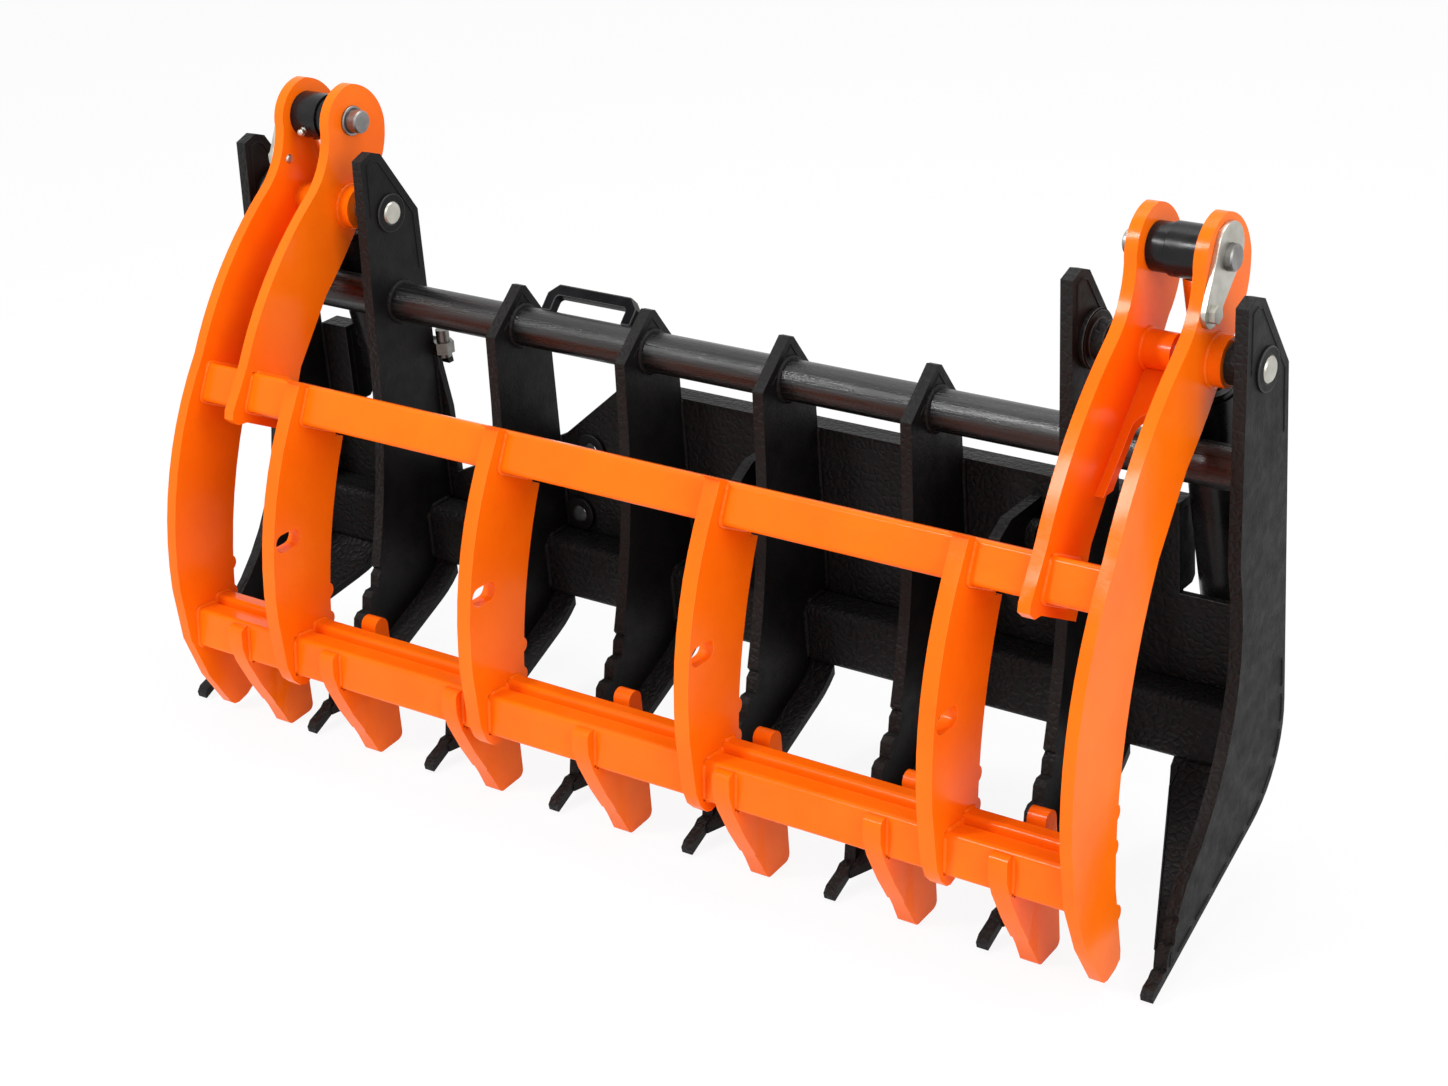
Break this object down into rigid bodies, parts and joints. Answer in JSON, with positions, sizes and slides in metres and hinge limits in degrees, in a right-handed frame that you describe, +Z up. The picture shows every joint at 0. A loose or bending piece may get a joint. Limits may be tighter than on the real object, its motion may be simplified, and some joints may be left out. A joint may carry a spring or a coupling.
{
  "type": "grapple rake",
  "caption": "Tined rake attachment for a loader, with a toothed hydraulic claw on a frame-wide hinge that opens up and forward.",
  "frame": {"origin": "centre of the loader face, on the back of the back panel", "axes": "+X along the width, +Y out of the loader face towards the loader, +Z up"},
  "size_m": [1.229, 0.392, 0.6675],
  "materials": {
    "black_powder_coat": "satin textured powder coat",
    "orange_paint": "gloss enamel",
    "cylinder_black": "satin enamel",
    "plated_steel": "zinc plated",
    "pin_steel": "ground steel",
    "chrome_rod": "polished hard chrome",
    "rubber": "matte rubber"
  },
  "bodies": {
    "frame": {"tine_1": "black_powder_coat", "tine_2": "black_powder_coat", "tine_3": "black_powder_coat", "tine_4": "black_powder_coat", "tine_5": "black_powder_coat", "tine_6": "black_powder_coat", "tine_7": "black_powder_coat", "tine_8": "black_powder_coat", "top_pipe": "black_powder_coat", "lower_tube": "black_powder_coat", "back_panel": "black_powder_coat", "lock_ledge": "black_powder_coat", "stiffener_lugs": "black_powder_coat", "hose_guide": "black_powder_coat", "hose_grommets": "rubber", "hydraulic_fitting": "plated_steel", "cylinder_bracket_left": "black_powder_coat", "cylinder_bracket_right": "black_powder_coat", "base_pin_left": "pin_steel", "base_pin_right": "pin_steel", "pivot_pin_left": "plated_steel", "pivot_pin_right": "plated_steel", "pivot_rings": "black_powder_coat", "pivot_bushes": "black_powder_coat"},
    "claw": {"arm_outer_left": "orange_paint", "arm_inner_left": "orange_paint", "arm_inner_right": "orange_paint", "arm_outer_right": "orange_paint", "rib_1": "orange_paint", "rib_2": "orange_paint", "rib_3": "orange_paint", "rib_4": "orange_paint", "upper_beam": "orange_paint", "lower_beam": "orange_paint", "back_bar": "orange_paint", "tooth_1": "orange_paint", "tooth_2": "orange_paint", "tooth_3": "orange_paint", "tooth_4": "orange_paint", "tooth_5": "orange_paint", "tooth_6": "orange_paint", "tooth_7": "orange_paint", "web_left": "orange_paint", "web_right": "orange_paint", "ear_pin_left": "pin_steel", "ear_pin_right": "pin_steel", "ear_spacers": "cylinder_black", "flag_plate_left": "plated_steel", "flag_plate_right": "plated_steel", "flag_bolts": "plated_steel"},
    "barrel_left": {"barrel_left": "cylinder_black", "gland_left": "cylinder_black"},
    "rod_left": {"rod_left": "chrome_rod", "rod_eye_left": "cylinder_black", "piston_left": "pin_steel"},
    "barrel_right": {"barrel_right": "cylinder_black", "gland_right": "cylinder_black"},
    "rod_right": {"rod_right": "chrome_rod", "rod_eye_right": "cylinder_black", "piston_right": "pin_steel"}
  },
  "joints": [
    {"name": "claw_hinge", "type": "hinge", "parent": "frame", "child": "claw", "pos_m": [0, -0.051, 0.29], "axis": [-1, 0, 0], "range_deg": [0, 50]},
    {"name": "barrel_swing_left", "type": "hinge", "parent": "frame", "child": "barrel_left", "pos_m": [-0.5307, 0.045, -0.04], "axis": [-1, 0, 0], "range_deg": [0, 8.8]},
    {"name": "rod_eye_swing_left", "type": "hinge", "parent": "claw", "child": "rod_left", "pos_m": [-0.5307, -0.035, 0.3815], "axis": [1, 0, 0], "range_deg": [0, 41.3]},
    {"name": "barrel_swing_right", "type": "hinge", "parent": "frame", "child": "barrel_right", "pos_m": [0.5307, 0.045, -0.04], "axis": [-1, 0, 0], "range_deg": [0, 8.8]},
    {"name": "rod_eye_swing_right", "type": "hinge", "parent": "claw", "child": "rod_right", "pos_m": [0.5307, -0.035, 0.3815], "axis": [1, 0, 0], "range_deg": [0, 41.3]}
  ],
  "couplings": [
    {"joint": "barrel_swing_left", "follows": "claw_hinge", "ratio": 0.175},
    {"joint": "rod_eye_swing_left", "follows": "claw_hinge", "ratio": 0.825},
    {"joint": "barrel_swing_right", "follows": "claw_hinge", "ratio": 0.175},
    {"joint": "rod_eye_swing_right", "follows": "claw_hinge", "ratio": 0.825}
  ]
}
